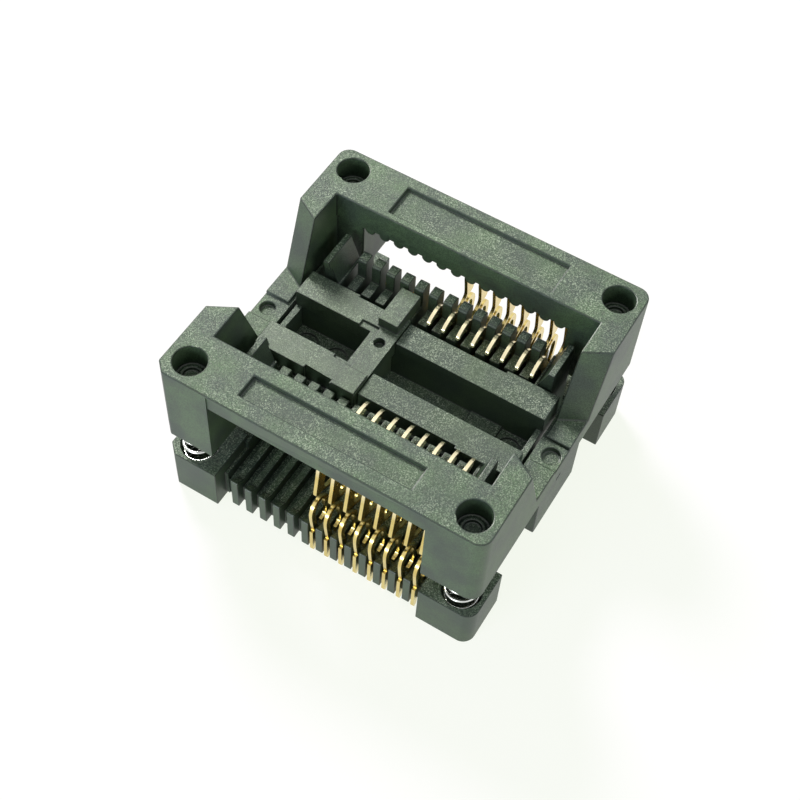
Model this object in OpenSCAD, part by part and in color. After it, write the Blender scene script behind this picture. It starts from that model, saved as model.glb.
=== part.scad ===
// Open-top burn-in socket for a two-row surface-mount package on a 1.27 mm pitch.
// A pressed-down cover frame rides on four coil springs and swings two rows of
// pinching contact heads outward, so that a package drops in with no force.
//
// Frame: origin at the centre of the plan, on the bottom of the feet. +X runs
// along the contact rows, +Y to the back row, +Z up. Millimetres, rest position.
// Every row is drawn for the front, at negative Y, and mirrored for the back.

/* [Overall size] */
// Length of the cover along the contact rows
overall_length = 26.8; // [25.6:0.1:34]
// Width of the cover across the two rows
overall_width = 25.2; // [24.2:0.1:32]
// Height of the cover top over the board
overall_height = 15.0; // [14.4:0.1:19]
// Press travel of the cover
press_travel = 2.4; // [1.6:0.1:2.4]
// Radius of the upright corners
corner_r = 1.0; // [0.4:0.1:1.4]
// Chamfer of the key corner, front left
key_chamfer = 0.8; // [0.4:0.1:1.6]

/* [Contact rows] */
// Contact pitch along a row
pitch = 1.27; // [1.20:0.01:1.30]
// Contact places in a row
places = 14; // [14:1:14]
// Places of a row that hold a contact, counted from the right end
loaded = 8; // [8:1:8]
// Sheet thickness of a contact stamping
contact_t = 0.27; // [0.2:0.01:0.34]
// Width of the tall comb teeth
tooth_t = 0.78; // [0.6:0.01:0.82]
// Width of the low outer ribs
rib_t = 0.62; // [0.45:0.01:0.7]

/* [Base] */
// Height of the feet
foot_h = 4.2; // [3.6:0.1:4.6]
// Height of the package ledges
ledge_h = 10.0; // [9.4:0.1:10.05]
// Height of the comb teeth
tooth_h = 11.45; // [10.8:0.05:11.8]
// Height of the guide walls at the row ends
guide_h = 11.7; // [11:0.1:12.2]
// Half width of the slot between the ledges
slot_half = 1.6; // [1.2:0.1:2.2]
// Height of the slot floor
slot_floor = 6.3; // [5.4:0.1:7.4]
// Height of the floor under the contacts
deck_h = 2.3; // [2.3:0.1:2.3]
// Thickness of the drop-in positioner plates
plate_t = 1.55; // [1.2:0.05:2.0]

/* [Springs] */
// Outside diameter of the four coil springs
spring_od = 2.75; // [2.2:0.05:2.9]
// Wire diameter of the springs
spring_wire = 0.24; // [0.2:0.02:0.36]
// Turns of each spring
spring_turns = 9; // [7:1:10]

/* [Latches] */
// Width of the latch tongues along Y
latch_w = 6.4; // [5:0.1:7]
// Gap between a latch hook and the shoulder it catches
latch_gap = 0.05; // [0.02:0.01:0.1]

/* [Hidden] */
// Places beyond the cut, so that no two faces meet
cut = 1;
// Outer half sizes of cover and feet
half_x = overall_length / 2;
half_y = overall_width / 2;
// Shift of both rows away from the middle on a wider socket
row_shift = half_y - 12.6;
// Half length of the comb, from end wall to end wall
comb_half = places * pitch / 2;
// Clear gap under the cover legs at full press, and the leg bottom height
leg_stop_gap = 0.4;
leg_z = foot_h + press_travel + leg_stop_gap;
// Base block: bottom height, half length, running gap to the cover rails
base_z = 0.3;
rail_gap = 0.25;
rail_in = half_x - 2.3;
block_x = rail_in - rail_gap;
// Cover opening
open_x = half_x - 2.1;
open_y = half_y - 4.55;
rail_top = leg_z + 1.9;
leg_in_y = half_y - 4.4;
// Pinch edge of the ledges
ledge_y = 4.05 + row_shift;
// Cam bars under the cover
cam_z = 12.55;
cam_r = 0.45;
lip_z = 13.2;
lip_in = 10.8 + row_shift;
// Spring stations
spring_x = half_x - 1.9;
spring_y = half_y - 1.87;
pocket_r = spring_od / 2 + 0.15;
spring_bottom = 1.2;
spring_top = 12.3;
// Pivot of the swinging heads, in a row's own across and height coordinates
pivot_u = 7.4;
pivot_z = 3.9;
knuckle_r = 0.35;
seat_gap = 0.1;

// ------------------------------------------------------------------ helpers
// One point of a smooth curve through a list of points
function bend(a, b, c, d, t) =
    0.5 * (2 * b + (c - a) * t + (2 * a - 5 * b + 4 * c - d) * t * t
    + (3 * b - a - 3 * c + d) * t * t * t);

// An open smooth curve through the points, ends kept
function curve(p, n = 4) = concat(
    [for (i = [0 : len(p) - 2], k = [0 : n - 1])
        bend(p[max(i - 1, 0)], p[i], p[i + 1], p[min(i + 2, len(p) - 1)], k / n)],
    [p[len(p) - 1]]);

// A side profile, given across the row and upward, drawn as a plate at x
module plate(x, t) {
    translate([x - t / 2, 0, 0])
        rotate([90, 0, 90])
            linear_extrude(t)
                children();
}

// The same for the front row, whose across-row direction points to -Y
module row_plate(x, t) {
    mirror([0, 1, 0])
        plate(x, t)
            translate([row_shift, 0])
                children();
}

// A block from corner to corner
module block(a, b) {
    translate(a)
        cube(b - a);
}

// Draws its child in the four corners, mirrored in place
module four_corners() {
    for (sx = [0, 1], sy = [0, 1])
        mirror([sx, 0, 0])
            mirror([0, sy, 0])
                children();
}

module both_rows() {
    for (s = [0, 1])
        mirror([0, s, 0])
            children();
}

module both_ends() {
    for (s = [0, 1])
        mirror([s, 0, 0])
            children();
}

// Outline of cover and feet: three round corners and the key chamfer
module outline() {
    difference() {
        square([2 * half_x, 2 * half_y], center = true);
        for (c = [[1, 1], [1, -1], [-1, 1]])
            translate([c[0] * (half_x - corner_r), c[1] * (half_y - corner_r)])
                difference() {
                    translate([c[0] > 0 ? 0 : -corner_r - cut, c[1] > 0 ? 0 : -corner_r - cut])
                        square(corner_r + cut);
                    circle(r = corner_r, $fn = 48);
                }
        polygon([
            [-half_x - cut, -half_y - cut],
            [-half_x + key_chamfer, -half_y - cut],
            [-half_x + key_chamfer, -half_y],
            [-half_x, -half_y + key_chamfer],
            [-half_x - cut, -half_y + key_chamfer]]);
    }
}

// ------------------------------------------------------------------ base
foot_in_y = half_y - 4.45;
ledge_relief = 0.25;
relief_x = 6.45;
groove_out = 4.4;
groove_floor = 8.4;
pad_h = 9.6;
split_x = -1.9;
sill_t = 0.5;
sill_h = 8.5;
plate_seat = ledge_h + 0.15 - plate_t;

// Side profile of one comb wall at its full tooth width
module tooth_profile() {
    polygon([
        [3.7, base_z], [3.7, groove_floor], [groove_out, groove_floor], [groove_out, pad_h],
        [5.95, pad_h], [5.95, tooth_h - 0.15], [6.1, tooth_h], [6.9, tooth_h],
        [7.05, tooth_h - 0.15], [7.05, base_z]]);
}

// Side profile of the low outer rib, its top rising at the outer end
module rib_profile() {
    polygon([
        [6.5, base_z], [6.5, 3.1], [11.2, 3.1], [11.8, 3.5], [11.9, 3.55], [12.0, 3.45],
        [12.0, base_z]]);
}

// Row end: comb end block, taller guide wall, and the low shelf beside it
module row_end() {
    x0 = comb_half - rib_t / 2;
    mirror([0, 1, 0]) {
        block([x0, ledge_y - 0.5, base_z], [comb_half + 1.15, 7.5 + row_shift, pad_h]);
        // Guide wall: upright outside, leaning in at the top for a lead-in
        translate([0, 7.5 + row_shift, 0])
            rotate([90, 0, 0])
                linear_extrude(3.3)
                    polygon([
                        [comb_half - 0.1, pad_h - 0.3], [comb_half - 0.1, pad_h],
                        [comb_half + 0.58, guide_h - 0.3], [comb_half + 0.65, guide_h],
                        [comb_half + 1.15, guide_h], [comb_half + 1.15, pad_h - 0.3]]);
        block([x0, ledge_y - 0.5, base_z], [block_x, foot_in_y + 0.5, 3.9]);
        block([x0, 6.5 + row_shift, base_z], [comb_half + 0.5, half_y - 1.2, 3.1]);
    }
}

module base() {
    color([0.10, 0.10, 0.10]) {
        base_body();
        // Raised land across the slot floor, right half
        block([5.0, -slot_half, slot_floor], [7.7, slot_half, slot_floor + 0.2]);
    }
}

module base_body() {
    difference() {
        union() {
            // Middle block with its ledges
            block([-block_x, -ledge_y, base_z], [block_x, ledge_y, ledge_h]);
            // Floor under both rows
            both_rows()
                mirror([0, 1, 0])
                    block([-comb_half, ledge_y - 0.5, base_z], [comb_half, 11.3 + row_shift, deck_h]);
            // Comb walls
            both_rows()
                for (i = [1 : places - 1]) {
                    row_plate((i - places / 2) * pitch, tooth_t)
                        tooth_profile();
                    row_plate((i - places / 2) * pitch, rib_t)
                        rib_profile();
                }
            both_rows()
                both_ends()
                    row_end();
            // Feet
            intersection() {
                linear_extrude(foot_h)
                    outline();
                four_corners()
                    block([comb_half, foot_in_y, -cut], [half_x + cut, half_y + cut, foot_h + cut]);
            }
        }
        // Slot between the ledges, behind a low sill at each end
        block([-block_x + sill_t, -slot_half, slot_floor], [block_x - sill_t, slot_half, ledge_h + cut]);
        block([-block_x - cut, -slot_half, sill_h], [block_x + cut, slot_half, ledge_h + cut]);
        // Lowered left half that carries the positioner
        block([-block_x - cut, -ledge_y - 0.3, plate_seat], [split_x, ledge_y + 0.3, ledge_h + cut]);
        // Relief of the ledge edges between the row ends
        both_rows()
            block([-relief_x, ledge_y - ledge_relief, groove_floor],
                [relief_x, ledge_y + 0.35, ledge_h + cut]);
        // Round ejector marks in the slot floor
        for (x = [-9.1, -6.4, 8.9])
            translate([x, 0.3, slot_floor - 0.2])
                cylinder(r = 0.9, h = cut, $fn = 48);
        // Spring pockets in the feet
        four_corners()
            translate([spring_x, spring_y, spring_bottom])
                cylinder(r = pocket_r, h = foot_h, $fn = 64);
        // Latch ways at both ends, under the shoulders the hooks catch
        both_ends()
            block([block_x - 0.75, -latch_w / 2 - 0.2, base_z - cut],
                [block_x + cut, latch_w / 2 + 0.2, leg_z - 3.25]);
    }
}

// ------------------------------------------------------------------ positioner
bar_x0 = -4.1;
bar_x1 = -1.95;

module positioner() {
    top = plate_seat + plate_t;
    color([0.13, 0.13, 0.13])
    difference() {
        union() {
            // Rear plate and front plate on the lowered half
            block([-block_x, slot_half - 0.05, plate_seat], [bar_x0 + 0.5, ledge_y - 0.05, top]);
            block([-block_x, -ledge_y, plate_seat], [bar_x0 + 0.5, -slot_half - 0.1, top]);
            // Cross bar over the slot
            block([bar_x0, -ledge_y - 0.2, plate_seat], [bar_x1, ledge_y - 0.05, top]);
            block([bar_x0 + 0.2, -slot_half, slot_floor], [bar_x1 - 0.2, slot_half, top]);
            // Raised rear pad reaching over the comb
            block([-3.9, 2.3, plate_seat + 0.5], [-2.2, ledge_y - 0.1, 11.0]);
            block([-3.9, 3.5, pad_h], [-2.2, 5.8 + row_shift, 11.0]);
            // Front pad
            block([-4.0, -ledge_y - 0.2, plate_seat + 0.4], [-2.0, -2.2, top + 0.2]);
        }
        // Outer-edge notch beside the bar
        both_rows()
            block([-relief_x, ledge_y - 0.25, plate_seat - cut], [bar_x0, ledge_y + 0.3, top + cut]);
        // Witness hole in the bar
        translate([-2.9, 0.9, top - 0.6])
            cylinder(d = 0.85, h = 2, $fn = 32);
        // Step along the bar between the pads
        block([bar_x0 - cut, -2.0, top - 0.2], [-3.6, 2.1, top + cut]);
    }
}

// ------------------------------------------------------------------ cover
// One slope of the end dips: a wedge of air over the rails, its edge skewed in plan
module dip_wedge() {
    skew = 30;
    rise = overall_height - rail_top;
    run = 2.1 * cos(skew);
    foot = 4.05 * cos(skew) - half_x * sin(skew);
    rotate([0, 0, skew])
        rotate([90, 0, 90])
            linear_extrude(2 * half_x)
                polygon([
                    [-40, rail_top], [foot, rail_top], [foot + run, overall_height],
                    [foot + run * 1.5, overall_height + rise / 2],
                    [-40, overall_height + rise / 2]]);
}

// Corner holes, plate recesses and rail marks of the cover
hole_depth = 2.0;
recess = 0.35;
band_drop = 0.25;
mark_depth = 0.4;

module cover() {
    color([0.09, 0.09, 0.09])
    difference() {
        union() {
            difference() {
                translate([0, 0, leg_z])
                    linear_extrude(overall_height - leg_z)
                        outline();
                // Central opening
                block([-open_x, -open_y, leg_z - cut], [open_x, open_y, overall_height + cut]);
                // Sloped dips in the end walls, down to the rails
                both_ends()
                    intersection() {
                        block([open_x - 0.5, -9, rail_top], [half_x + cut, 9, overall_height + cut]);
                        dip_wedge();
                        mirror([0, 1, 0])
                            dip_wedge();
                    }
                // Lower middle band of the rail top
                both_ends()
                    block([open_x - 0.5, -1.15, rail_top - band_drop],
                        [half_x + cut, 1.15, rail_top + cut]);
                // Windows over the contact rows, below the cam bar and the outer lip
                both_rows()
                    mirror([0, 1, 0]) {
                        block([-comb_half, open_y - cut, leg_z - cut], [comb_half, half_y + cut, cam_z]);
                        block([-comb_half, lip_in, leg_z], [comb_half, half_y + cut, lip_z]);
                    }
                // Space between the opening and the legs
                both_rows()
                    mirror([0, 1, 0])
                        block([-open_x, open_y - cut, leg_z - cut], [open_x, leg_in_y, cam_z]);
            }
            // Cam bumps over each contact place
            both_rows()
                for (i = [0 : places - 1])
                    translate([(i - (places - 1) / 2) * pitch, -open_y, cam_z])
                        rotate([90, 0, 0])
                            cylinder(r = cam_r, h = lip_in - open_y, $fn = 32);
            both_ends() {
                // Inner edge of the rail
                block([rail_in, -leg_in_y, leg_z], [open_x + 0.5, leg_in_y, rail_top - band_drop]);
                // Latch tongue and its hook
                block([half_x - 1.3, -latch_w / 2, leg_z - 4.2], [half_x, latch_w / 2, leg_z + 0.5]);
                translate([0, latch_w / 2, 0])
                    rotate([90, 0, 0])
                        linear_extrude(latch_w)
                            polygon([
                                [half_x - 1, leg_z - 4.2], [half_x - 1, leg_z - 3.25 - latch_gap],
                                [block_x - 0.5, leg_z - 3.25 - latch_gap],
                                [block_x - 0.5, leg_z - 3.6], [block_x + 0.3, leg_z - 4.2]]);
            }
        }
        // Spring pockets in the legs, and the stepped holes in the top corners
        four_corners()
            translate([spring_x, spring_y, 0]) {
                translate([0, 0, leg_z - cut])
                    cylinder(r = pocket_r, h = spring_top - leg_z + cut, $fn = 64);
                difference() {
                    translate([0, 0, overall_height - hole_depth])
                        cylinder(d = 2.5, h = hole_depth + cut, $fn = 64);
                    translate([0, 0, overall_height - hole_depth - cut])
                        cylinder(d = 1.9, h = cut + 0.25, $fn = 48);
                }
                translate([0, 0, overall_height - hole_depth])
                    cylinder(d = 1.3, h = 1, $fn = 40);
            }
        // Shallow plate recesses in both bars
        block([-7.0, -half_y + 1.35, overall_height - recess], [6.95, -half_y + 3.3, overall_height + cut]);
        block([-7.0, half_y - 3.95, overall_height - recess], [7.0, half_y - 1.05, overall_height + cut]);
        // Lip faces set back a little behind the leg faces
        both_rows()
            mirror([0, 1, 0])
                block([-comb_half, half_y - 0.1, leg_z], [comb_half, half_y + cut, overall_height - 0.2]);
        // Ejector marks in the rails and the small slit in each tongue
        translate([half_x - 0.95, 0, rail_top - band_drop - mark_depth])
            cylinder(d = 1.4, h = 1, $fn = 48);
        translate([-half_x + 0.95, 0, rail_top - band_drop - mark_depth])
            cylinder(d = 1.2, h = 1, $fn = 48);
        both_ends()
            block([half_x - 0.25, -0.5, leg_z - 0.2], [half_x + cut, 0.1, leg_z]);
    }
}

// ------------------------------------------------------------------ springs
// One coil spring between its two pockets, drawn as a turned slice of the wire
module spring(sx, sy) {
    r = (spring_od - spring_wire) / 2;
    wire = spring_wire / 2;
    h = spring_top - spring_bottom;
    spread = 360 * spring_turns * spring_wire / h;
    steps = 4;
    color([0.75, 0.76, 0.78])
    translate([sx * spring_x, sy * spring_y, spring_bottom])
        linear_extrude(height = h, twist = -360 * spring_turns, slices = 14 * spring_turns)
            polygon(concat(
                [for (k = [0 : steps])
                    (r + wire * sin(180 * k / steps))
                        * [cos(spread * (k / steps - 0.5)), sin(spread * (k / steps - 0.5))]],
                [for (k = [steps - 1 : -1 : 1])
                    (r - wire * sin(180 * k / steps))
                        * [cos(spread * (k / steps - 0.5)), sin(spread * (k / steps - 0.5))]]));
}

// ------------------------------------------------------------------ contacts
function place_x(n) = (places - loaded + n - 1 - (places - 1) / 2) * pitch;

// Fixed part: tail, loop over the outer end, inner leg, bar and head seat
module fixed_profile() {
    difference() {
        polygon(concat(
            [[12.05, 0.3], [12.05, 2.77], [11.85, 2.80]],
            curve([[11.83, 2.9], [11.93, 3.5], [12.02, 4.2], [12.1, 5.0], [12.07, 5.6], [11.85, 6.12],
                [11.5, 6.38], [11.15, 6.44], [10.76, 6.34], [10.3, 5.98], [9.96, 5.6], [9.88, 5.2],
                [9.9, 4.75], [9.8, 4.3], [9.72, 3.9], [9.68, 3.5], [9.55, 3.15], [9.3, 3.0]]),
            [[7.95, 3.0], [7.95, 3.75], [6.9, 3.75], [6.9, deck_h], [10.8, deck_h], [10.8, 3.0]],
            curve([[10.5, 3.0], [10.22, 3.15], [10.14, 3.55], [10.18, 3.99], [10.33, 4.4],
                [10.39, 4.75], [10.38, 5.1], [10.36, 5.45], [10.52, 5.78], [10.85, 5.97],
                [11.2, 5.98], [11.5, 5.7], [11.64, 5.2], [11.6, 4.6], [11.52, 4.1], [11.42, 3.5],
                [11.38, 2.9], [11.55, 2.4]]),
            [[11.55, 0.3], [11.7, 0], [11.9, 0]]));
        translate([pivot_u, pivot_z])
            circle(r = knuckle_r + seat_gap, $fn = 48);
    }
}

// Swinging part: pinching nose, driven lever plate, stem and knuckle
module head_profile() {
    polygon(concat(
        curve([[4.2, 10.32], [4.32, 10.55], [4.62, 10.74], [5.15, 10.9], [5.6, 10.93], [5.97, 10.87],
            [6.4, 10.45], [6.75, 9.8], [7.02, 8.9], [7.32, 8.0], [7.8, 7.2], [8.5, 6.76],
            [9.32, 6.7], [10.0, 6.93], [10.42, 7.4]]),
        curve([[10.36, 8.3], [10.18, 9.4], [10.12, 10.1], [10.25, 10.42]]),
        [[10.5, 10.5], [10.8, 10.5]],
        curve([[11.0, 10.35], [11.08, 10.15], [11.3, 8.8], [11.49, 7.6], [11.4, 7.3]]),
        curve([[11.15, 7.18], [10.75, 7.15], [10.45, 7.0], [10.1, 6.72], [9.4, 6.4], [8.6, 6.3],
            [8.0, 6.2], [7.7, 5.7], [7.62, 5.1], [7.6, 4.5]]),
        [for (a = [50 : -10 : -230])
            [pivot_u + knuckle_r * cos(a), pivot_z + knuckle_r * sin(a)]],
        curve([[7.2, 4.5], [7.18, 5.2], [6.98, 6.1], [6.55, 7.1], [6.2, 8.1], [5.88, 9.1],
            [5.6, 9.8], [5.2, 10.15], [4.75, 10.2], [4.4, 10.12]])));
}

module fixed_contact(n) {
    color([0.83, 0.66, 0.30])
    row_plate(place_x(n), contact_t)
        fixed_profile();
}

module lever(n) {
    color([0.90, 0.74, 0.36])
    row_plate(place_x(n), contact_t)
        head_profile();
}

// ------------------------------------------------------------------ list of pieces

base();
positioner();
cover();
spring(-1, -1);  // spring_front_left
spring(1, -1);  // spring_front_right
spring(-1, 1);  // spring_back_left
spring(1, 1);  // spring_back_right
for (n = [1 : loaded]) {
    fixed_contact(n);
    lever(n);
    mirror([0, 1, 0]) fixed_contact(n);
    mirror([0, 1, 0]) lever(n);
}
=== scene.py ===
"""Looks of an open-top test socket with one row of contacts along each side, over its CAD frame."""

import math

import bmesh
import bpy
import numpy as np
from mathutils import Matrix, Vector


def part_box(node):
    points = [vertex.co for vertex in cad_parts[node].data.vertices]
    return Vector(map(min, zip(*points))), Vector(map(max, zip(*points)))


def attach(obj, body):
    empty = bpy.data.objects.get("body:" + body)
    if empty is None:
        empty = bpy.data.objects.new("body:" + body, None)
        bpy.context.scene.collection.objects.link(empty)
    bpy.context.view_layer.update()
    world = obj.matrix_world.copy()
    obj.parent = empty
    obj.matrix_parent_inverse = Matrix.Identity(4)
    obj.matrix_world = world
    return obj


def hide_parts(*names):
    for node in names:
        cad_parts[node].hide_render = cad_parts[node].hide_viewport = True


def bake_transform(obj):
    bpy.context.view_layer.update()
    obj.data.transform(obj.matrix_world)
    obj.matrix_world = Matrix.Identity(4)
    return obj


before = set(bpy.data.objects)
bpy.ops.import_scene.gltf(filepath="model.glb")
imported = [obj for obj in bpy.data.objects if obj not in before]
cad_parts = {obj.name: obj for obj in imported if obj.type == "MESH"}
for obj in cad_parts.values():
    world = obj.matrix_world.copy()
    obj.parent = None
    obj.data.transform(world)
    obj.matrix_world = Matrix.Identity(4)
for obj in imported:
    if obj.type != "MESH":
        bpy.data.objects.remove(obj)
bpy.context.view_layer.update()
scene = bpy.context.scene
MM = 0.001

# ---------------------------------------------------------------- camera
# A long lens looks down on the socket from its front right, so that the front bar, the
# right end and the pocket between the bars all show.
lens = bpy.data.cameras.new("camera")
lens.lens = 65.84
lens.sensor_width = 36
lens.clip_start = 0.005
camera = bpy.data.objects.new("camera", lens)
scene.collection.objects.link(camera)
camera.location = (0.02877, -0.05551, 0.09913)
camera.rotation_euler = (math.radians(33.76), math.radians(-2.39), math.radians(31.23))
scene.camera = camera
scene.view_settings.view_transform = "Standard"


# ---------------------------------------------------------------- studio
# A white sheet under an open white tent, with a soft lamp high behind the left end and
# two weak ones in front and at the right. Together they light a top face at about the value 1.
def linear(hex_code):
    """An sRGB hex colour as the linear values that shaders take."""
    c = np.array([int(hex_code[i:i + 2], 16) / 255 for i in (0, 2, 4)])
    c = np.where(c <= 0.04045, c / 12.92, ((c + 0.055) / 1.055) ** 2.4)
    return (*c.tolist(), 1.0)


def add(tree, kind, links=(), **values):
    """One shader node with its settings and values, and a link into it for each (socket, output)."""
    node = tree.nodes.new(kind)
    for key, value in values.items():
        if hasattr(node, key):
            setattr(node, key, value)
        else:
            node.inputs[key.replace("_", " ")].default_value = value
    for socket, output in links:
        tree.links.new(output, node.inputs[socket])
    return node


def seen_directly(tree):
    """1 for a ray from the camera or by way of a mirror or glass, 0 for light that a matt face
    scatters."""
    path = add(tree, "ShaderNodeLightPath").outputs
    either = add(tree, "ShaderNodeMath", [(0, path["Is Camera Ray"]), (1, path["Is Glossy Ray"])],
                 operation="MAXIMUM").outputs[0]
    return add(tree, "ShaderNodeMath", [(0, either), (1, path["Is Transmission Ray"])],
               operation="MAXIMUM").outputs[0]


for name, place, size, power, tint in (
        ("rear_lamp", (-0.18, 0.12, 0.20), 0.09, 0.90, (0.98, 1.0, 0.92)),
        ("front_lamp", (-0.06, -0.24, 0.05), 0.14, 0.44, (0.85, 0.97, 1.0)),
        ("right_lamp", (0.20, -0.04, 0.10), 0.12, 0.12, (0.97, 1.0, 0.95))):
    light = bpy.data.lights.new(name, "AREA")
    light.shape = "DISK"
    light.size = size
    light.energy = power
    light.color = tint
    lamp = bpy.data.objects.new(name, light)
    lamp.location = place
    lamp.rotation_euler = (-Vector(place)).to_track_quat("-Z", "Y").to_euler()
    scene.collection.objects.link(lamp)

tent = bpy.data.worlds.new("tent")
scene.world = tent
tent.use_nodes = True
tree = tent.node_tree
height = add(tree, "ShaderNodeSeparateXYZ", [(0, add(tree, "ShaderNodeTexCoord").outputs["Generated"])])
glow = add(tree, "ShaderNodeMapRange", [("Value", height.outputs["Z"])], To_Min=0.12, To_Max=0.30)
soft = tree.nodes["Background"]
soft.inputs["Color"].default_value = (0.86, 0.97, 1.0, 1)
tree.links.new(glow.outputs[0], soft.inputs["Strength"])
white = add(tree, "ShaderNodeBackground", Color=(1, 1, 1, 1), Strength=1.0)
either = add(tree, "ShaderNodeMixShader",
             [(0, seen_directly(tree)), (1, soft.outputs[0]), (2, white.outputs[0])])
tree.links.new(either.outputs[0], tree.nodes["World Output"].inputs["Surface"])

sheet_mesh = bpy.data.meshes.new("floor")
sheet_edge = 1.5
corners = [(-sheet_edge, -sheet_edge, 0), (sheet_edge, -sheet_edge, 0),
           (sheet_edge, sheet_edge, 0), (-sheet_edge, sheet_edge, 0)]
sheet_mesh.from_pydata(corners, [], [(0, 1, 2, 3)])
floor = bpy.data.objects.new("floor", sheet_mesh)
scene.collection.objects.link(floor)
# white paper: seen directly it is mostly its own white, a little greener where light is missing,
# and the rest is lit, so the object's shadow stays
paper = bpy.data.materials.new("white_paper")
paper.use_nodes = True
tree = paper.node_tree
lit = tree.nodes["Principled BSDF"]
lit.inputs["Roughness"].default_value = 0.9
lit.inputs["Specular IOR Level"].default_value = 0.0
seen = seen_directly(tree)
tone = add(tree, "ShaderNodeMix", [("Factor", seen)], data_type="RGBA", A=(0.88, 0.93, 0.84, 1),
           B=(0.17, 0.12, 0.21, 1))
tree.links.new(tone.outputs["Result"], lit.inputs["Base Color"])
lit.inputs["Emission Color"].default_value = (0.86, 0.90, 0.80, 1)
tree.links.new(seen, lit.inputs["Emission Strength"])
floor.data.materials.append(paper)


# ---------------------------------------------------------------- base
# The lower moulding, a glass-filled heat-resistant plastic coloured black: feet with spring
# pockets, package ledges and a comb of teeth and ribs that the contacts are pressed into.
# The tool is spark-eroded, which leaves upward faces rough and upright faces smoother.
def moulded_plastic(name, warm, cool, glint_fleck, rough, pits):
    """Glass-filled plastic: two tones, warm and cool, in clouds, grain and pits, and pale flecks,
    painted glints, in patches on faces that look up; upright faces are painted darker as shade.
    The roughness varies about rough, and pits is how strong the grain's relief is on a face that looks
    up."""
    # real grain is about 0.03 mm and is drawn coarser, to show, and so are the painted glints
    cloud_width, grain_width, glint_width, patch_width = 3 * MM, 0.08 * MM, 0.07 * MM, 2.2 * MM
    plastic = bpy.data.materials.new(name)
    plastic.use_nodes = True
    tree = plastic.node_tree
    face = tree.nodes["Principled BSDF"]
    place = add(tree, "ShaderNodeTexCoord").outputs["Object"]
    tilt = add(tree, "ShaderNodeSeparateXYZ",
               [(0, add(tree, "ShaderNodeNewGeometry").outputs["True Normal"])]).outputs["Z"]
    top = add(tree, "ShaderNodeMapRange", [("Value", tilt)], From_Min=0.5, From_Max=0.9).outputs[0]
    cloud = add(tree, "ShaderNodeTexNoise", [("Vector", place)], Scale=1 / cloud_width, Detail=4.0)
    cloud = add(tree, "ShaderNodeMapRange", [("Value", cloud.outputs["Fac"])], From_Min=0.38,
                From_Max=0.62)
    grain = add(tree, "ShaderNodeTexNoise", [("Vector", place)], Scale=1 / grain_width, Detail=3.0,
                Roughness=0.65).outputs["Fac"]
    # pale flecks in patches, only on faces that look up, are painted glints
    ends = add(tree, "ShaderNodeTexVoronoi", [("Vector", place)], Scale=1 / glint_width)
    ends = add(tree, "ShaderNodeMapRange", [("Value", ends.outputs["Color"])], From_Min=0.55,
               From_Max=0.9).outputs[0]
    patch = add(tree, "ShaderNodeTexNoise", [("Vector", place)], Scale=1 / patch_width, Detail=2.0)
    patch = add(tree, "ShaderNodeMapRange", [("Value", patch.outputs["Fac"])], From_Min=0.4,
                From_Max=0.65, To_Min=0.25, To_Max=0.58).outputs[0]
    patch = add(tree, "ShaderNodeMath", [(0, patch), (1, top)], operation="MULTIPLY").outputs[0]
    share = add(tree, "ShaderNodeMath", [(0, ends), (1, patch)], operation="MULTIPLY").outputs[0]
    body = add(tree, "ShaderNodeMix", [("Factor", cloud.outputs[0])], data_type="RGBA",
               A=linear(warm), B=linear(cool))
    grain_and_painted_shade = add(tree, "ShaderNodeMapRange", [("Value", grain)], From_Min=0.3, From_Max=0.7,
                 To_Min=0.26, To_Max=1.66)
    # upright faces are painted darker, down to 0.7 of a top face's colour: a painted shade
    painted_upright_shade = add(tree, "ShaderNodeMapRange", [("Value", top)], To_Min=0.7, To_Max=1.0)
    grain_and_painted_shade = add(tree, "ShaderNodeMath", [(0, grain_and_painted_shade.outputs[0]), (1, painted_upright_shade.outputs[0])],
                 operation="MULTIPLY")
    body = add(tree, "ShaderNodeVectorMath", [(0, body.outputs["Result"]), ("Scale", grain_and_painted_shade.outputs[0])],
               operation="SCALE")
    body = add(tree, "ShaderNodeMix", [("Factor", share), ("A", body.outputs[0])], data_type="RGBA",
               B=linear(glint_fleck))
    tree.links.new(body.outputs["Result"], face.inputs["Base Color"])
    matt = add(tree, "ShaderNodeMapRange", [("Value", grain)], From_Min=0.3, From_Max=0.7,
               To_Min=rough - 0.1, To_Max=rough + 0.12)
    tree.links.new(matt.outputs[0], face.inputs["Roughness"])
    depth = add(tree, "ShaderNodeMapRange", [("Value", top)], To_Min=0.15, To_Max=pits)
    relief = add(tree, "ShaderNodeBump", [("Height", grain), ("Strength", depth.outputs[0])],
                 Distance=0.05 * MM)
    tree.links.new(relief.outputs[0], face.inputs["Normal"])
    face.inputs["Specular IOR Level"].default_value = 0.5
    return plastic


sharp_angle = math.radians(32)


def narrow(edge, room):
    """True for an edge along a strip of a face that is narrower than room: the face's outline
    runs along the edge, across by less than room, and back."""
    for loop in edge.link_loops:
        for turn in ("link_loop_next", "link_loop_prev"):
            across = getattr(loop, turn)
            along, back = (at.link_loop_next.vert.co - at.vert.co for at in (loop, getattr(across, turn)))
            if across.edge.calc_length() < room and along.normalized().dot(back.normalized()) < -0.7:
                return True
    return False


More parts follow.
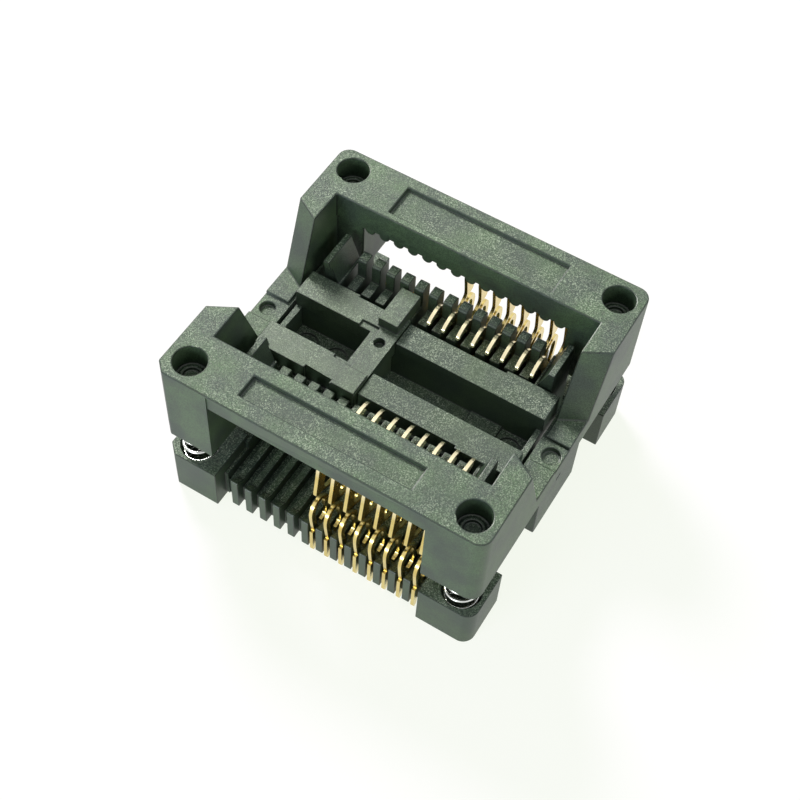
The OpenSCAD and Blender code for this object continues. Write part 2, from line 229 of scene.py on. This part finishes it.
def moulding(node, body, radius, plastic, arris):
    """A moulding's CAD skin with its arrises rounded to the radius. Faces that meet are joined,
    flat ones are melted together, and each edge sharper than the sharp angle becomes two strips,
    which take the arris material, a painted shade, unless it runs along a strip too narrow for them."""
    touching, flat, seam = 0.0001 * MM, math.radians(0.5), math.radians(12)
    room = 2.2 * radius
    skin = bmesh.new()
    skin.from_mesh(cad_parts[node].data)
    bmesh.ops.remove_doubles(skin, verts=skin.verts, dist=touching)
    bmesh.ops.dissolve_limit(skin, angle_limit=flat, verts=skin.verts, edges=skin.edges)
    sharp = [e for e in skin.edges if e.calc_face_angle() > sharp_angle and not narrow(e, room)]
    bmesh.ops.bevel(skin, geom=sharp, offset=radius, offset_type="OFFSET", segments=2,
                    profile=0.5, affect="EDGES", clamp_overlap=False, material=1)
    mesh = bpy.data.meshes.new(node + "_moulding")
    skin.to_mesh(mesh)
    skin.free()
    mesh.polygons.foreach_set("use_smooth", np.ones(len(mesh.polygons), bool))
    mesh.set_sharp_from_angle(angle=seam)
    mesh.materials.append(plastic)
    mesh.materials.append(arris)
    piece = bpy.data.objects.new(mesh.name, mesh)
    scene.collection.objects.link(piece)
    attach(piece, body)
    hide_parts(node)


base_plastic = moulded_plastic("spark_eroded_black_base_plastic", "485a43", "3d4c40", "dbe6cf",
                               0.44, 0.9)
# arrises are rubbed smooth, and their colour is painted darker: a painted shade
base_arris_painted_shade = moulded_plastic("black_base_arris_painted_shade", "2b352a", "2a3430", "5a6854", 0.36, 0.2)
moulding("base", "base", 0.05 * MM, base_plastic, base_arris_painted_shade)

# ---------------------------------------------------------------- contacts
# Sixteen stampings of beryllium copper strip 0.27 mm thick, plated with nickel and gold. Each
# is one piece: tail, loop over the outer end, inner leg, bar, springy stem, and a head with
# the nose that pinches a package lead and the plate that the cover pushes. The real stem bends
# at its foot; here each stamping is drawn at rest.
gold = bpy.data.materials.new("gold_plated_beryllium_copper")
gold.use_nodes = True
tree = gold.node_tree
face = tree.nodes["Principled BSDF"]
place = add(tree, "ShaderNodeTexCoord").outputs["Object"]
# the plating is a little paler in places 1.4 mm wide, and rolling marks of 0.3 mm dull it
wash = add(tree, "ShaderNodeTexNoise", [("Vector", place)], Scale=1 / (1.4 * MM), Detail=2.0)
tone = add(tree, "ShaderNodeMix", [("Factor", wash.outputs["Fac"])], data_type="RGBA",
           A=linear("c8ab58"), B=linear("efdf9e"))
# the noses and the tips of the plates, above 9.4 mm, are painted a paler gold: a painted highlight
height = add(tree, "ShaderNodeSeparateXYZ", [(0, place)]).outputs["Z"]
painted_nose_highlight = add(tree, "ShaderNodeMapRange", [("Value", height)], From_Min=9.4 * MM, From_Max=10.5 * MM)
tone = add(tree, "ShaderNodeMix", [("Factor", painted_nose_highlight.outputs[0]), ("A", tone.outputs["Result"])],
           data_type="RGBA", B=linear("f4e9c2"))
tree.links.new(tone.outputs["Result"], face.inputs["Base Color"])
marks = add(tree, "ShaderNodeTexNoise", [("Vector", place)], Scale=1 / (0.3 * MM),
            Detail=3.0).outputs["Fac"]
matt = add(tree, "ShaderNodeMapRange", [("Value", marks)], To_Min=0.16, To_Max=0.32)
tree.links.new(matt.outputs[0], face.inputs["Roughness"])
relief = add(tree, "ShaderNodeBump", [("Height", marks)], Strength=0.06, Distance=0.02 * MM)
tree.links.new(relief.outputs[0], face.inputs["Normal"])
face.inputs["Metallic"].default_value = 1.0


def through(points, steps=5):
    """A smooth open line through the points: each stretch is a cubic whose slope at a point is
    half the step between that point's two neighbours."""
    p = np.array(points)
    p = np.vstack([p[:1], p, p[-1:]])[:, None]
    a, b, c, d = p[:-3], p[1:-2], p[2:-1], p[3:]
    t = np.linspace(0, 1, steps, endpoint=False)[None, :, None]
    line = b + 0.5 * t * ((c - a) + t * (2 * a - 5 * b + 4 * c - d + t * (3 * b - a - 3 * c + d)))
    return np.vstack([line.reshape(-1, 2), p[-1]])


def tube(name, rings, metal, smooth):
    """A closed skin over rings of points, an array (rings, points in a ring, 3): quads between
    neighbouring rings and one flat face over each end, all facing outwards."""
    rows, ring = rings.shape[:2]
    i, j = np.meshgrid(np.arange(rows - 1), np.arange(ring), indexing="ij")
    k = (j + 1) % ring
    quads = np.stack([i * ring + j, i * ring + k, (i + 1) * ring + k, (i + 1) * ring + j], -1)
    ends = [list(range(ring)), list(range((rows - 1) * ring, rows * ring))]
    mesh = bpy.data.meshes.new(name)
    mesh.from_pydata(rings.reshape(-1, 3).tolist(), [], quads.reshape(-1, 4).tolist() + ends)
    skin = bmesh.new()
    skin.from_mesh(mesh)
    bmesh.ops.recalc_face_normals(skin, faces=skin.faces)
    skin.to_mesh(mesh)
    skin.free()
    mesh.polygons.foreach_set("use_smooth", np.full(len(mesh.polygons), smooth))
    mesh.materials.append(metal)
    piece = bpy.data.objects.new(name, mesh)
    scene.collection.objects.link(piece)
    return piece


# (distance from the middle plane, height) in mm, once round: outer face of the tail and loop,
# inner leg down to the bar, the stem's face towards the loop, plate, nose, the stem's face
# towards the middle, underside and end of the bar, inside of the loop, tip of the tail
outline = np.vstack([
    [(12.05, 0.3), (12.05, 2.77), (11.85, 2.80)],
    through([(11.83, 2.9), (11.93, 3.5), (12.02, 4.2), (12.1, 5.0), (12.07, 5.6), (11.85, 6.12),
             (11.5, 6.38), (11.15, 6.44), (10.76, 6.34), (10.3, 5.98), (9.96, 5.6), (9.88, 5.2),
             (9.9, 4.75), (9.8, 4.3), (9.72, 3.9), (9.68, 3.5), (9.55, 3.15), (9.3, 3.0)]),
    through([(8.1, 3.0), (7.78, 3.12), (7.62, 3.45), (7.6, 3.9), (7.6, 4.5), (7.62, 5.1),
             (7.7, 5.7), (8.0, 6.2), (8.6, 6.3), (9.4, 6.4), (10.1, 6.72), (10.45, 7.0),
             (10.75, 7.15), (11.15, 7.18), (11.4, 7.3), (11.49, 7.6), (11.3, 8.8),
             (11.08, 10.15), (11.0, 10.35)]),
    [(10.8, 10.5), (10.5, 10.5)],
    through([(10.25, 10.42), (10.12, 10.1), (10.18, 9.4), (10.36, 8.3), (10.42, 7.4), (10.0, 6.93),
             (9.32, 6.7), (8.5, 6.76), (7.8, 7.2), (7.32, 8.0), (7.02, 8.9), (6.75, 9.8),
             (6.4, 10.45), (5.97, 10.87), (5.6, 10.93), (5.15, 10.9), (4.62, 10.74), (4.32, 10.55),
             (4.2, 10.32)]),
    through([(4.4, 10.12), (4.75, 10.2), (5.2, 10.15), (5.6, 9.8), (5.88, 9.1), (6.2, 8.1),
             (6.55, 7.1), (6.98, 6.1), (7.18, 5.2), (7.2, 4.5), (7.2, 3.9), (7.16, 3.4),
             (7.0, 2.95), (6.9, 2.7)]),
    [(6.9, 2.31), (10.8, 2.31), (10.8, 3.0)],
    through([(10.5, 3.0), (10.22, 3.15), (10.14, 3.55), (10.18, 3.99), (10.33, 4.4), (10.39, 4.75),
             (10.38, 5.1), (10.36, 5.45), (10.52, 5.78), (10.85, 5.97), (11.2, 5.98), (11.5, 5.7),
             (11.64, 5.2), (11.6, 4.6), (11.52, 4.1), (11.42, 3.5), (11.38, 2.9), (11.55, 2.4)]),
    [(11.55, 0.3), (11.7, 0.0), (11.9, 0.0)]]) * MM
contacts = 8
# the punch leaves the edges a little rounded
punched_radius = 0.03 * MM
for row, side in (("front", -1), ("back", 1)):
    for number in range(1, contacts + 1):
        low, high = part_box(f"contact_{row}_{number}")
        blank = [np.column_stack([np.full(len(outline), x), side * outline[:, 0], outline[:, 1]])
                 for x in (low.x, high.x)]
        stamping = tube(f"contact_{row}_{number}_stamping", np.array(blank), gold, smooth=False)
        edge = stamping.modifiers.new("punched_edge", "BEVEL")
        edge.width = punched_radius
        edge.segments = 2
        edge.angle_limit = sharp_angle
        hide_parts(f"contact_{row}_{number}", f"lever_{row}_{number}")
        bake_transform(stamping)

# ---------------------------------------------------------------- positioner
# The drop-in insert that centres a package: a frame with a cross bar, moulded in the same
# plastic from a finer tool, so it is smoother and a shade paler. It snaps into the base.
insert_plastic = moulded_plastic("fine_eroded_black_insert_plastic", "4b5c45", "3f4e3f", "c6d3b9",
                                 0.40, 0.6)
moulding("positioner", "base", 0.06 * MM, insert_plastic, base_arris_painted_shade)

# ---------------------------------------------------------------- springs
# Four compression springs of bright drawn wire, one at each corner, between the pockets of
# the feet and of the cover's legs. Their end turns lie flat. The real ones close as the cover
# sinks; here each is drawn at rest.
wire_steel = bpy.data.materials.new("bright_drawn_spring_wire")
wire_steel.use_nodes = True
tree = wire_steel.node_tree
face = tree.nodes["Principled BSDF"]
place = add(tree, "ShaderNodeTexCoord").outputs["Object"]
# drawing leaves faint marks about 0.3 mm long
marks = add(tree, "ShaderNodeTexNoise", [("Vector", place)], Scale=1 / (0.3 * MM), Detail=2.0)
matt = add(tree, "ShaderNodeMapRange", [("Value", marks.outputs["Fac"])], To_Min=0.12, To_Max=0.3)
tree.links.new(matt.outputs[0], face.inputs["Roughness"])
face.inputs["Base Color"].default_value = linear("d9dbd8")
face.inputs["Metallic"].default_value = 1.0


def coil(low, high, wire, turns):
    """Rings of the skin of a wire, of radius wire, along a helix between two corners of its box.
    The wire's centre runs at a constant radius round the box's axis, its height is even in the
    angle but stands still over the closed turn at each end, and each ring lies in the plane
    through the axis."""
    closed, rings_a_turn, ring_points = 0.9, 40, 10
    radius = (high.x - low.x) / 2 - wire
    share = np.linspace(0, 1, turns * rings_a_turn + 1)[:, None]
    rise = np.clip((share * turns - closed) / (turns - 2 * closed), 0, 1)
    angle = 2 * math.pi * turns * share
    around = np.linspace(0, 2 * math.pi, ring_points, endpoint=False)[None, :]
    reach = radius + wire * np.cos(around)
    return np.stack([(low.x + high.x) / 2 + reach * np.cos(angle),
                     (low.y + high.y) / 2 + reach * np.sin(angle),
                     low.z + wire + (high.z - low.z - 2 * wire) * rise + wire * np.sin(around)], -1)


wire_radius = 0.12 * MM
turns = 11
for corner in ("front_left", "front_right", "back_left", "back_right"):
    low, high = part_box("spring_" + corner)
    spring = tube(f"spring_{corner}_coil", coil(low, high, wire_radius, turns), wire_steel, smooth=True)
    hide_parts("spring_" + corner)
    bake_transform(spring)

# ---------------------------------------------------------------- cover
# The upper moulding, in the base's plastic: two bars joined by end rails, on four legs. It is
# pressed down to open the contacts. Its arrises are rounder than the base's.
cover_plastic = moulded_plastic("spark_eroded_black_cover_plastic", "50654a", "3f4d42", "cbd8be",
                                0.46, 0.9)
# the cover's arrises are rubbed smooth, and their colour is painted darker: a painted shade
cover_arris_painted_shade = moulded_plastic("black_cover_arris_painted_shade", "364233", "34403a", "66745f", 0.36, 0.2)
moulding("cover", "cover", 0.1 * MM, cover_plastic, cover_arris_painted_shade)
